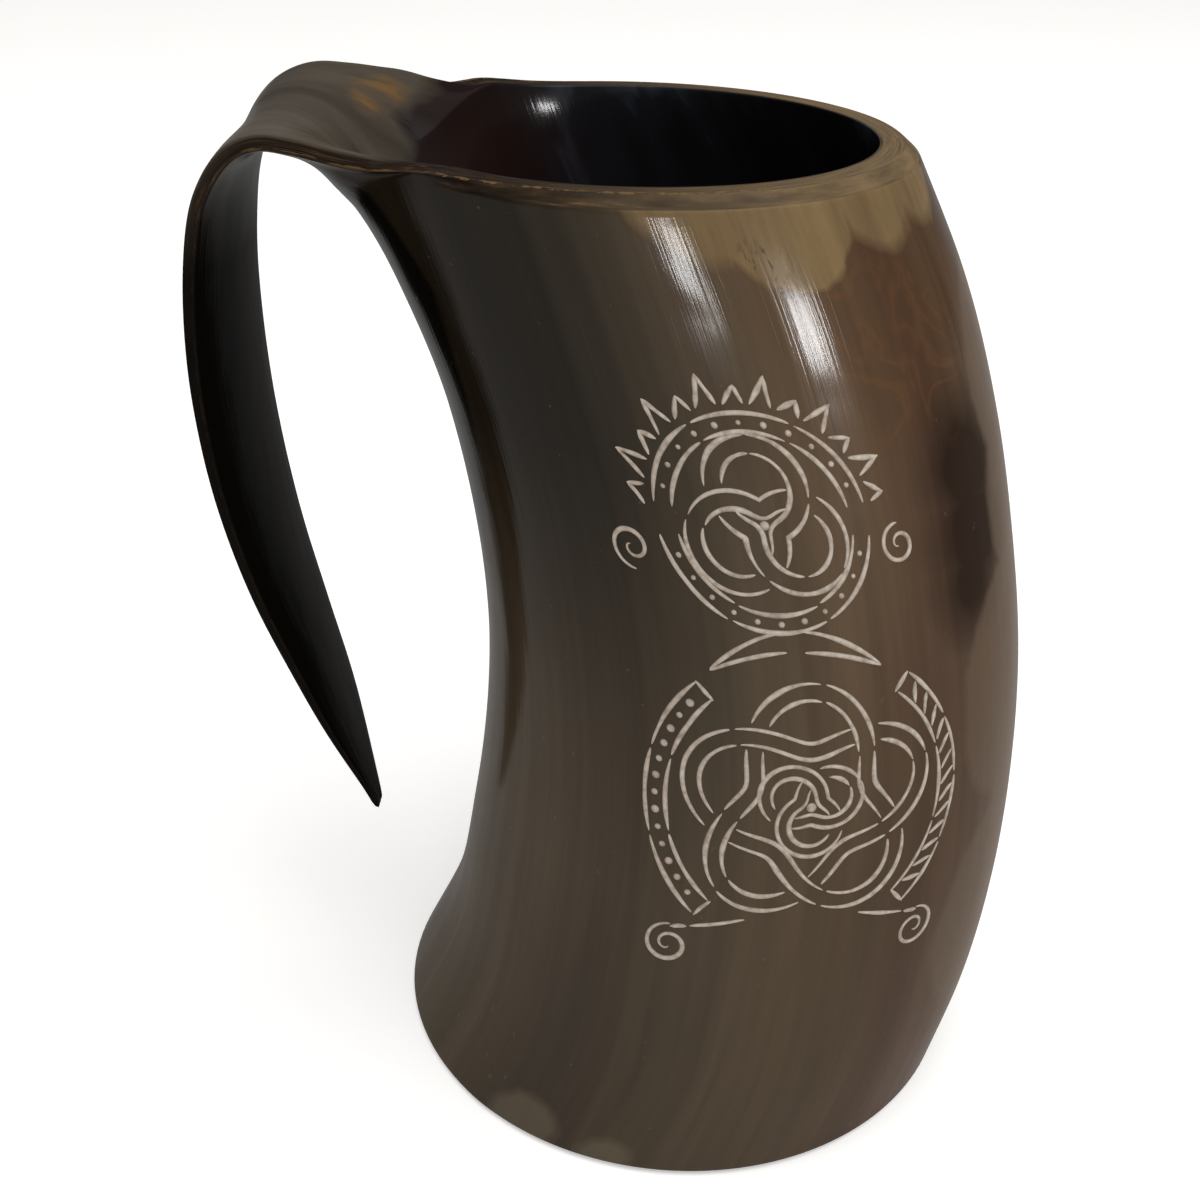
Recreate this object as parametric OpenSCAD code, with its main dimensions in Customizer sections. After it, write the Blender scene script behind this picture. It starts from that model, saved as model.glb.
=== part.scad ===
// Drinking cup made from one length of hollow horn, with a plate in its foot.
// The handle is a strip of the horn's own wall, left standing at the rim and bent
// over. The strip hangs free down to a blunt point.
// Origin: centre of the foot on the table. The handle is towards -X, +Z is up.

/* [Horn] */
// Height of the rim above the table
rim_height = 155; // [120:1:200]
// Outside diameter of the round foot
foot_d = 98; // [80:1:120]
// Outside length of the mouth, in line with the handle
mouth_length = 79.5; // [66:0.5:96]
// Outside width of the mouth, across the handle
mouth_width = 72.5; // [60:0.5:90]
// How far the horn's natural bend carries its middle away from the handle
belly_bend = 10.2; // [4:0.2:14]
// Thickness of the horn's wall
wall = 5.5; // [3.5:0.1:7]
// Width of the bevel round the outside of the rim
rim_bevel = 1.3; // [0.5:0.1:2]
// Height of that bevel
rim_bevel_height = 1.8; // [0.6:0.1:3]
// Chamfer at the outer edge of the foot
foot_chamfer = 0.9; // [0.3:0.1:2]

/* [Handle] */
// How far the lip under the handle's root dips below the rim
lip_drop = 11.4; // [7:0.2:13]
// Height above the table where that dip starts
lip_start = 116; // [100:1:130]
// How far the strap stands out from the lip
handle_reach = 20.6; // [16:0.2:28]
// Height of the strap's free point above the table
tip_height = 35; // [25:1:60]
// Width of the strap at its middle
handle_width = 36; // [26:0.5:44]
// How far the strap leans at the arch, its far edge outwards and its near edge inwards
handle_lean = 1.2; // [0:0.1:2]
// Thickness of the strap along its middle where it leaves the rim
root_thickness = 4.2; // [3:0.1:6]
// Thickness of the strap along its middle near the point
tip_thickness = 3.2; // [2.4:0.1:4]
// Thickness of the strap's rounded edges
edge_thickness = 2.1; // [1.5:0.1:3]

/* [Foot plate] */
// Thickness of the plate let into the foot
plate_thickness = 6; // [4:0.5:10]
// Width of the horn left round the plate
foot_lip = 4; // [2.5:0.1:5]
// Width of the step that the plate rests against
seat_step = 1.6; // [1:0.1:3]
// Height over which the bore blends from round to the horn's own shape
seat_blend = 16; // [10:1:30]
// Gap between the plate's edge and the horn
plate_gap = 0.15; // [0.05:0.05:0.4]
// Chamfer at the plate's lower edge
plate_chamfer = 0.5; // [0.2:0.1:1]
// Radius of the resin fillet in the inside corner
seal_radius = 2.4; // [1.5:0.1:4]
// Gap between the fillet and the wall
seal_gap = 0.25; // [0.1:0.05:0.5]

/* [Hidden] */

foot_r = foot_d / 2;
mouth_a = mouth_length / 2;
mouth_b = mouth_width / 2;
bore_r = foot_r - foot_lip;
seat_r = bore_r - seat_step;

// Faces round the horn, and rows of faces up its two sides
columns = 60;
step_angle = 360 / columns;
body_rows = 30;
inner_rows = 26;
row_power = 0.9;
rows_per_station = 3;

// Half angle of the wall that runs into the handle, of the lip that dips under it, and
// the angle by which the rim's bevel is back at its full width
root_angle = 48;
root_columns = root_angle / step_angle;
lip_angle = 52;
bevel_angle = 80;
lip_power = 2.2;
facet_share = cos(step_angle / 2);

// The horn's shape at nine even heights, from the foot to the rim
bend_shares = [0, 0.61, 0.88, 1, 0.95, 0.68, 0.24, -0.41, -1.19];
length_taper_shares = [0, 0.25, 0.36, 0.5, 0.63, 0.73, 0.78, 0.81, 1];
width_taper_shares = [0, 0.02, 0.06, 0.19, 0.36, 0.53, 0.73, 0.88, 1];
levels = len(bend_shares) - 1;

// The handle at fifteen stations, from the lip over the arch to the point: how far out
// and how far down its middle line lies, then the same for its edges, then its width
middle_out_shares = [0, 0.1, 0.22, 0.35, 0.49, 0.62, 0.69, 0.76, 0.82, 0.82, 0.765, 0.64,
    0.455, 0.28, 0.07];
middle_down_shares = [0, 0.073, 0.044, 0.023, 0.016, 0.025, 0.05, 0.1, 0.193, 0.306, 0.4325,
    0.569, 0.704, 0.835, 1];
edge_out_shares = [0, -0.36, -0.08, 0.2, 0.45, 0.67, 0.84, 0.94, 1, 1, 0.925, 0.77, 0.55,
    0.325, 0.07];
edge_down_shares = [0, 0.001, -0.004, -0.011, -0.012, 0.006, 0.045, 0.098, 0.192, 0.307, 0.4375,
    0.575, 0.708, 0.8375, 0.998];
half_width_shares = [0, 1.41, 1.28, 1.19, 1.13, 1.08, 1.04, 1.01, 1, 1, 0.96, 0.845, 0.68,
    0.49, 0.06];
stations = len(middle_out_shares) - 1;
// Station by which the root has turned from the rim's oval into the strap
root_stations = 3.5;
// Stations over which the strap's lean comes in, and where it starts and stops fading
lean_in = 2;
lean_out = [5, 9];
// Half angle of the arc across the strap, and how late its thickness falls to the edge's
strap_angle = 40;
edge_power = 3;

// Helpers: a smooth step, a unit vector and a smooth curve through a table
function smooth(x) = let (c = max(0, min(1, x))) c * c * (3 - 2 * c);
function unit(v) = v / norm(v);
function mix(a, b, t) = a * (1 - t) + b * t;
function table(t, i) = i < 0 ? 2 * t[0] - t[1]
    : i > len(t) - 1 ? 2 * t[len(t) - 1] - t[len(t) - 2]
    : t[i];
function curve(t, u) =
    let (
        i = min(floor(u), len(t) - 2),
        f = u - i,
        a = table(t, i - 1),
        b = table(t, i),
        c = table(t, i + 1),
        d = table(t, i + 2)
    )
    b + f * (c - a) / 2 + f * f * (2 * a - 5 * b + 4 * c - d) / 2
        + f * f * f * (3 * b - a - 3 * c + d) / 2;

// Horn wall: its middle and half axes at a share s of the height
function middle_x(s) = belly_bend * curve(bend_shares, s * levels);
function half_length(s) = mix(foot_r, mouth_a, curve(length_taper_shares, s * levels));
function half_width(s) = mix(foot_r, mouth_b, curve(width_taper_shares, s * levels));

// Lip under the handle: how much of the dip shows at height share s and angle v
lip_start_share = lip_start / rim_height;
function lip_rise(s) = pow(max(0, (s - lip_start_share) / (1 - lip_start_share)), lip_power);
function lip_round(v) =
    let (u = min(1, abs(v) / lip_angle))
    pow(1 - u * u, 2);

// Outer face of the wall; angle 0 is at the handle
function wall_point(s, v) = [
    middle_x(s) - half_length(s) * cos(v),
    half_width(s) * sin(v),
    rim_height * s - lip_drop * lip_rise(s) * lip_round(v)
];

// Level outward normal, and the true outward normal
function level_normal(s, v) = unit([-cos(v) / half_length(s), sin(v) / half_width(s), 0]);
share_step = 0.004;
angle_step = 1;
function true_normal(s, v) =
    let (
        s1 = min(1, s + share_step),
        s0 = s1 - 2 * share_step,
        up = wall_point(s1, v) - wall_point(s0, v),
        across = wall_point(s, v + angle_step) - wall_point(s, v - angle_step)
    )
    unit(cross(up, across));

// Inner face: the wall's thickness inside, turning towards the strap's face at the lip,
// and round at the foot, where the bore is turned for the plate
function inner_point(s, v) =
    let (
        lip = lip_rise(s) * lip_round(v),
        inward = -unit(mix(level_normal(s, v), true_normal(s, v), lip)),
        horn = wall_point(s, v) + inward * mix(wall, root_thickness, lip),
        bore = [-seat_r * cos(v), seat_r * sin(v), rim_height * s],
        blend = smooth((rim_height * s - plate_thickness) / seat_blend)
    )
    mix(bore, horn, blend);

// Bevel of the rim, which fades out where the handle takes over
function bevel_fade(v) = smooth((abs(v) - root_angle) / (bevel_angle - root_angle));
function rim_point(v) = wall_point(1, v) - level_normal(1, v) * rim_bevel * bevel_fade(v);

// Strap: the middle line and the edge line of its face towards the cup
lip_point = wall_point(1, 0);
root_point = rim_point(root_angle);
handle_height = rim_height - tip_height;
middle_x_path = [for (r = middle_out_shares) lip_point[0] - handle_reach * r];
middle_z_path = [for (i = [0:stations])
    i == 0 ? lip_point[2] : rim_height - handle_height * middle_down_shares[i]];
edge_x_path = [for (i = [0:stations])
    i == 0 ? root_point[0] : lip_point[0] - handle_reach * edge_out_shares[i]];
edge_z_path = [for (i = [0:stations])
    i == 0 ? root_point[2] : rim_height - handle_height * edge_down_shares[i]];
edge_y_path = [for (i = [0:stations])
    i == 0 ? root_point[1] : handle_width / 2 * half_width_shares[i]];
path_step = 0.1;

function middle_point(u) = [curve(middle_x_path, u), 0, curve(middle_z_path, u)];
function edge_point(u) = [curve(edge_x_path, u), 0, curve(edge_z_path, u)];
function path_outward(u) =
    let (t = edge_point(min(stations, u + path_step)) - edge_point(max(0, u - path_step)))
    unit([t[2], 0, -t[0]]);
function lean(u) =
    handle_lean * smooth(u / lean_in) * (1 - smooth((u - lean_out[0]) / (lean_out[1] - lean_out[0])));

// Face of the strap towards the cup, at station u and share k of its half width.
// At station 0 it is the rim itself, which the turn then lets go.
function across_share(k, reach) = sin(reach * k) / sin(reach);
function along_share(k, reach) = (1 - cos(reach * k)) / (1 - cos(reach));
function plain_strap(u, k, reach) =
    middle_point(u) + (edge_point(u) - middle_point(u)) * along_share(k, reach)
        + [0, curve(edge_y_path, u) * across_share(k, reach), 0];
function strap_outer(u, k) =
    let (
        turned = smooth(u / root_stations),
        reach = mix(root_angle, strap_angle, turned),
        rim = rim_point(root_angle * k) - plain_strap(0, k, root_angle)
    )
    plain_strap(u, k, reach) + rim * (1 - turned) + path_outward(u) * lean(u) * k;

share_probe = 0.02;
function strap_normal(u, k) =
    let (
        u1 = min(stations, u + path_step),
        u0 = max(0, u - path_step),
        k1 = min(1, k + share_probe),
        k0 = max(-1, k - share_probe)
    )
    unit(cross(strap_outer(u, k1) - strap_outer(u, k0), strap_outer(u1, k) - strap_outer(u0, k)));

function strap_inner(u, k) =
    let (
        rim = inner_point(1, root_angle * k) - rim_point(root_angle * k),
        middle = mix(root_thickness, tip_thickness, u / stations),
        thick = edge_thickness + (middle - edge_thickness) * (1 - pow(abs(k), edge_power)),
        own = strap_normal(u, k) * thick
    )
    strap_outer(u, k) + mix(rim, own, smooth(2 * u / root_stations));

// The strap has as many columns as the wall has between the two sides of its root
strap_rows = stations * rows_per_station;
strap_columns = 2 * root_columns;

module horn_body() {
    // Rings of the wall, from the foot up the outside, then down the inside
    outer_shares = [for (i = [0:body_rows - 1])
        mix(foot_chamfer, rim_height - rim_bevel_height, pow(i / (body_rows - 1), row_power))
            / rim_height];
    inner_shares = [for (i = [0:inner_rows])
        mix(1, plate_thickness / rim_height, i / inner_rows)];
    angles = [for (j = [0:columns - 1]) -180 + j * step_angle];
    foot_ring = [for (v = angles)
        [-(foot_r - foot_chamfer) * cos(v), (foot_r - foot_chamfer) * sin(v), 0]];
    outer_rings = [for (s = outer_shares) each [for (v = angles) wall_point(s, v)]];
    rim_ring = [for (v = angles) rim_point(v)];
    inner_rings = [for (s = inner_shares) each [for (v = angles) inner_point(s, v)]];
    seat_ring = [for (v = angles) [-bore_r * cos(v), bore_r * sin(v), plate_thickness]];
    mouth_ring = [for (v = angles) [-bore_r * cos(v), bore_r * sin(v), 0]];
    rim_row = body_rows + 1;
    rings = body_rows + 2 + (inner_rows + 1) + 2;

    // Strap rows beyond the rim, first on the face towards the cup, then on the other
    strap_face = [for (i = [1:strap_rows]) each [for (c = [0:strap_columns])
        strap_outer(i / rows_per_station, c / root_columns - 1)]];
    strap_back = [for (i = [1:strap_rows]) each [for (c = [0:strap_columns])
        strap_inner(i / rows_per_station, c / root_columns - 1)]];
    face_start = rings * columns;
    back_start = face_start + strap_rows * (strap_columns + 1);
    first = columns / 2 - root_columns;

    function ring(r, j) = (r % rings) * columns + (j + columns) % columns;
    function face(i, c) = i == 0 ? ring(rim_row, first + c)
        : face_start + (i - 1) * (strap_columns + 1) + c;
    function back(i, c) = i == 0 ? ring(rim_row + 1, first + c)
        : back_start + (i - 1) * (strap_columns + 1) + c;
    function quad(a, b, c, d) = [[a, b, c], [a, c, d]];

    ring_faces = [for (r = [0:rings - 1]) each [for (j = [0:columns - 1])
        if (r != rim_row || j < first || j >= first + strap_columns)
            each quad(ring(r, j), ring(r, j + 1), ring(r + 1, j + 1), ring(r + 1, j))]];
    strap_faces = [for (i = [0:strap_rows - 1]) each [for (c = [0:strap_columns - 1]) each concat(
        quad(face(i, c), face(i, c + 1), face(i + 1, c + 1), face(i + 1, c)),
        quad(back(i, c + 1), back(i, c), back(i + 1, c), back(i + 1, c + 1)))]];
    edge_faces = [for (i = [0:strap_rows - 1]) each concat(
        quad(back(i, 0), face(i, 0), face(i + 1, 0), back(i + 1, 0)),
        quad(face(i, strap_columns), back(i, strap_columns),
            back(i + 1, strap_columns), face(i + 1, strap_columns)))];
    tip_faces = [for (c = [0:strap_columns - 1])
        each quad(face(strap_rows, c), face(strap_rows, c + 1),
            back(strap_rows, c + 1), back(strap_rows, c))];

    color([0.2, 0.17, 0.14])
        polyhedron(
            points = concat(foot_ring, outer_rings, rim_ring, inner_rings, seat_ring,
                mouth_ring, strap_face, strap_back),
            faces = concat(ring_faces, strap_faces, edge_faces, tip_faces),
            convexity = 10);
}

// Plate of dark hardwood, pressed up against the step in the foot
module base_plate() {
    plate_r = bore_r * facet_share - plate_gap;
    color([0.3, 0.2, 0.13])
        rotate_extrude($fn = 2 * columns)
            polygon([
                [0, 0],
                [plate_r - plate_chamfer, 0],
                [plate_r, plate_chamfer],
                [plate_r, plate_thickness],
                [0, plate_thickness]
            ]);
}

// Fillet of clear resin in the corner between the plate and the wall
module base_seal() {
    seal_r = seat_r * facet_share - seal_gap;
    color([0.12, 0.08, 0.05])
        translate([0, 0, plate_thickness])
            rotate_extrude($fn = 2 * columns)
                difference() {
                    translate([seal_r - seal_radius, 0])
                        square(seal_radius);
                    translate([seal_r - seal_radius, seal_radius])
                        circle(r = seal_radius, $fn = columns);
                }
}

horn_body();
base_plate();
base_seal();
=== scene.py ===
"""Looks for the horn drinking cup: polished horn, a hardwood foot plate and filled engraving."""
import math
from functools import partial

import bpy
import numpy as np
from mathutils import Matrix, Vector


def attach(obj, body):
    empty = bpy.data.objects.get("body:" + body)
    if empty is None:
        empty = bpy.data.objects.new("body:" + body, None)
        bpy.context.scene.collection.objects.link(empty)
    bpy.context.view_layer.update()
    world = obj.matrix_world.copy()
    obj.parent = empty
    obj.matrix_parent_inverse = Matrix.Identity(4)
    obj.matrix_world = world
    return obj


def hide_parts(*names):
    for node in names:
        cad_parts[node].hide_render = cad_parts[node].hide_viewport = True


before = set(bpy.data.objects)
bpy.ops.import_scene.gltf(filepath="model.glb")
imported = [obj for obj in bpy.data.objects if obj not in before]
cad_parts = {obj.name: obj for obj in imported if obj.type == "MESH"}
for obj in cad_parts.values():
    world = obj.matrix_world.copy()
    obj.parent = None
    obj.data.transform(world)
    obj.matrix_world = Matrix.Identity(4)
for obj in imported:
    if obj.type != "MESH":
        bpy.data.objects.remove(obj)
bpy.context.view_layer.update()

MM = 0.001

# Sizes of the part in millimetres, as in its source
rim_height = 155
foot_r = 49
mouth_a = 39.75
mouth_b = 36.25
belly_bend = 10.2
wall = 5.5
rim_bevel = 1.3
rim_bevel_height = 1.8
foot_chamfer = 0.9
lip_drop = 11.4
lip_start_share = 116 / rim_height
lip_power = 2.2
lip_angle = 52
root_angle = 48
bevel_angle = 80
handle_reach = 20.6
tip_height = 35
handle_width = 36
handle_lean = 1.2
root_thickness = 4.2
tip_thickness = 3.2
edge_thickness = 2.1
plate_thickness = 6
seat_blend = 16
bore_r = 45
seat_r = 43.4
strap_angle = 40
root_stations = 3.5

# Where the handle's lean and its thinning start and end, in stations from the rim
lean_whole = 2
lean_fade = 5
lean_end = 9
thinning_start = 11.5
tip_thinning = 0.5

# Rise of the rim beside the handle's far root, in degrees and millimetres
far_rise = 2.1
far_rise_turn = 47
far_rise_spread = 13
far_rise_start = 128
far_rise_run = 22
far_fall_start = 152
far_fall_run = 8

# Flare of the inside just under the rim, and the degrees over which it ends at the handle
inner_flare = 0.5
flare_depth = 4
flare_fade = 20

# Steps of the horn's grid, and how close the extra step beside a corner lies to it
across_steps = 17
across_margin = 0.02
round_steps = 61
round_margin = 0.004
outer_steps = 52
inner_steps = 44
height_margin = 0.003
per_station = 5
bore_margin = 0.3
foot_margin = 0.4

# Small steps over which the handle's normals are taken, along it and across it
normal_along = 0.1
normal_across = 0.02

# The horn's shape at nine even heights, and the handle's at fifteen stations
bend_shares = [0, 0.61, 0.88, 1, 0.95, 0.68, 0.24, -0.41, -1.19]
length_taper_shares = [0, 0.25, 0.36, 0.5, 0.63, 0.73, 0.78, 0.81, 1]
width_taper_shares = [0, 0.02, 0.06, 0.19, 0.36, 0.53, 0.73, 0.88, 1]
middle_out_shares = [0, 0.1, 0.22, 0.35, 0.49, 0.62, 0.69, 0.76, 0.82, 0.82, 0.765, 0.64,
                     0.455, 0.28, 0.07]
middle_down_shares = [0, 0.073, 0.044, 0.023, 0.016, 0.025, 0.05, 0.1, 0.193, 0.306, 0.4325,
                      0.569, 0.704, 0.835, 1]
edge_out_shares = [0, -0.36, -0.08, 0.2, 0.45, 0.67, 0.84, 0.94, 1, 1, 0.925, 0.77, 0.55,
                   0.325, 0.07]
edge_down_shares = [0, 0.001, -0.004, -0.011, -0.012, 0.006, 0.045, 0.098, 0.192, 0.307, 0.4375,
                    0.575, 0.708, 0.8375, 0.998]
half_width_shares = [0, 1.41, 1.28, 1.19, 1.13, 1.08, 1.04, 1.01, 1, 1, 0.96, 0.845, 0.68,
                     0.49, 0.06]
stations = len(middle_out_shares) - 1


def smooth(x):
    """Cubic step from 0 to 1: three x squared less two x cubed."""
    x = np.clip(x, 0, 1)
    return x * x * (3 - 2 * x)


def unit(v):
    """Each vector over its own length."""
    return v / np.linalg.norm(v, axis=-1, keepdims=True)


def curve(table, u):
    """Catmull-Rom curve through the table's values at whole numbers u."""
    table = np.asarray(table, float)
    first = 2 * table[0] - table[1]
    last = 2 * table[-1] - table[-2]
    held = np.concatenate(([first], table, [last]))
    u = np.asarray(u, float)
    i = np.clip(np.floor(u).astype(int), 0, len(table) - 2)
    f = u - i
    a, b, c, d = held[i], held[i + 1], held[i + 2], held[i + 3]
    return (b + f * (c - a) / 2 + f * f * (2 * a - 5 * b + 4 * c - d) / 2
            + f ** 3 * (3 * b - a - 3 * c + d) / 2)


def blend(a, b, t):
    """a at share 0, b at share 1."""
    return a * (1 - t) + b * t


def half_axes(s):
    """Half length and half width of the horn's outline at height share s."""
    u = s * (len(bend_shares) - 1)
    return (blend(foot_r, mouth_a, curve(length_taper_shares, u)),
            blend(foot_r, mouth_b, curve(width_taper_shares, u)))


def lip(s, v):
    """How far the lip under the handle has dipped: a power of the height times a round bump."""
    rise = np.maximum(0, (s - lip_start_share) / (1 - lip_start_share)) ** lip_power
    across = np.minimum(1, np.abs(v) / lip_angle)
    return rise * (1 - across ** 2) ** 2


def wall_point(s, v):
    """Outer face: an ellipse at each height share s, at v degrees round from the handle."""
    s, v = np.broadcast_arrays(np.asarray(s, float), np.asarray(v, float))
    a, b = half_axes(s)
    turn = np.radians(v)
    middle = belly_bend * curve(bend_shares, s * (len(bend_shares) - 1))
    return np.stack([middle - a * np.cos(turn), b * np.sin(turn),
                     rim_height * s - lip_drop * lip(s, v)], -1)


def level_normal(s, v):
    """Outward normal of the ellipse, lying level."""
    a, b = half_axes(s)
    turn = np.radians(v)
    return unit(np.stack([-np.cos(turn) / a, np.sin(turn) / b, 0 * turn], -1))


def true_normal(s, v):
    """Outward normal of the wall, from small steps up and round."""
    step = 0.004
    high = np.minimum(1, s + step)
    up = wall_point(high, v) - wall_point(high - 2 * step, v)
    across = wall_point(s, v + 1) - wall_point(s, v - 1)
    return unit(np.cross(up, across))


def inner_point(s, v):
    """Inner face: one wall thickness in, and a round bore near the foot."""
    s, v = np.broadcast_arrays(np.asarray(s, float), np.asarray(v, float))
    dip = lip(s, v)[..., None]
    inward = -unit(blend(level_normal(s, v), true_normal(s, v), dip))
    horn = wall_point(s, v) + inward * blend(wall, root_thickness, dip)
    turn = np.radians(v)
    bore = np.stack([-seat_r * np.cos(turn), seat_r * np.sin(turn), rim_height * s], -1)
    return blend(bore, horn, smooth((rim_height * s - plate_thickness) / seat_blend)[..., None])


def rim_point(v):
    """Outer corner of the rim, drawn in by the bevel except where the handle grows out."""
    v = np.asarray(v, float)
    fade = smooth((np.abs(v) - root_angle) / (bevel_angle - root_angle))[..., None]
    ones = np.ones_like(v)
    return wall_point(ones, v) - level_normal(ones, v) * rim_bevel * fade


lip_point = wall_point(1, 0)
root_point = rim_point(root_angle)
handle_height = rim_height - tip_height


def path(first, shares, start, scale):
    """Table of one coordinate along the handle: its first value, then start plus share by scale."""
    return [first] + [start + scale * share for share in shares[1:]]


middle_x = path(lip_point[0], middle_out_shares, lip_point[0], -handle_reach)
middle_z = path(lip_point[2], middle_down_shares, rim_height, -handle_height)
edge_x = path(root_point[0], edge_out_shares, lip_point[0], -handle_reach)
edge_z = path(root_point[2], edge_down_shares, rim_height, -handle_height)
edge_y = path(root_point[1], half_width_shares, 0, handle_width / 2)


def plain_strap(u, k, reach):
    """Arc across the handle: middle line plus a circular share of the way to its edge line."""
    flat = 0 * u
    middle = np.stack([curve(middle_x, u), flat, curve(middle_z, u)], -1)
    edge = np.stack([curve(edge_x, u), flat, curve(edge_z, u)], -1)
    turn, whole = np.radians(reach * k), np.radians(reach)
    along = ((1 - np.cos(turn)) / (1 - np.cos(whole)))[..., None]
    side = curve(edge_y, u) * np.sin(turn) / np.sin(whole)
    return middle + (edge - middle) * along + np.stack([flat, side, flat], -1)


def strap_outer(u, k):
    """Handle's face towards the cup, which starts as the rim and lets go of it smoothly. Over its
    first bend it leans: one edge lies further out than the other."""
    u, k = np.broadcast_arrays(np.asarray(u, float), np.asarray(k, float))
    turned = smooth(u / root_stations)
    reach = blend(root_angle, strap_angle, turned)
    rim = rim_point(root_angle * k) - plain_strap(0 * u, k, root_angle + 0 * u)
    high, low = np.minimum(stations, u + normal_along), np.maximum(0, u - normal_along)
    run_x = curve(edge_x, high) - curve(edge_x, low)
    run_z = curve(edge_z, high) - curve(edge_z, low)
    outward = unit(np.stack([run_z, 0 * run_z, -run_x], -1))
    upright = smooth((u - lean_fade) / (lean_end - lean_fade))
    lean = handle_lean * smooth(u / lean_whole) * (1 - upright)
    return (plain_strap(u, k, reach) + rim * (1 - turned)[..., None]
            + outward * (lean * k)[..., None])


def strap_inner(u, k):
    """Handle's other face: one thickness along the normal, thinner by the cube of the way to each
    edge, and by a smooth step along the last stations before the point."""
    u, k = np.broadcast_arrays(np.asarray(u, float), np.asarray(k, float))
    high, low = np.minimum(stations, u + normal_along), np.maximum(0, u - normal_along)
    along = strap_outer(high, k) - strap_outer(low, k)
    across = (strap_outer(u, np.minimum(1, k + normal_across))
              - strap_outer(u, np.maximum(-1, k - normal_across)))
    middle = blend(root_thickness, tip_thickness, u / stations)
    thick = edge_thickness + (middle - edge_thickness) * (1 - np.abs(k) ** 3)
    near_point = smooth((u - thinning_start) / (stations - thinning_start))
    thick = thick * (1 - tip_thinning * near_point)
    own = unit(np.cross(across, along)) * thick[..., None]
    ones = np.ones_like(k)
    rim = inner_point(ones, root_angle * k) - rim_point(root_angle * k)
    return strap_outer(u, k) + blend(rim, own, smooth(2 * u / root_stations)[..., None])


def make_mesh(name, points, faces, attributes):
    """Mesh in metres from points in millimetres, with named values for each point."""
    used = np.unique(np.concatenate([np.asarray(f).ravel() for f in faces]))
    place = np.full(len(points), -1)
    place[used] = np.arange(len(used))
    mesh = bpy.data.meshes.new(name)
    lists = [place[np.asarray(f)].tolist() for f in faces]
    mesh.from_pydata((points[used] * MM).tolist(), [], [face for group in lists for face in group])
    mesh.shade_smooth()
    for key, values in attributes.items():
        values = np.asarray(values, float)[used]
        kind = "FLOAT" if values.ndim == 1 else "FLOAT_VECTOR"
        layer = mesh.attributes.new(key, kind, "POINT")
        layer.data.foreach_set("value" if kind == "FLOAT" else "vector", values.ravel())
    piece = bpy.data.objects.new(name, mesh)
    bpy.context.scene.collection.objects.link(piece)
    return piece


def corner_shares(count, margin):
    """Even shares from 0 to 1 with one more close to each end, which keeps a corner crisp."""
    even = np.linspace(0, 1, count)
    return np.sort(np.concatenate([even, [margin, 1 - margin]]))


def grain_place(radius, v, along):
    """Where a point lay while the horn was straight, in metres: grain runs along its third axis."""
    turn = np.radians(v)
    return np.stack([-radius * np.cos(turn), radius * np.sin(turn), along], -1) * MM


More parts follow.
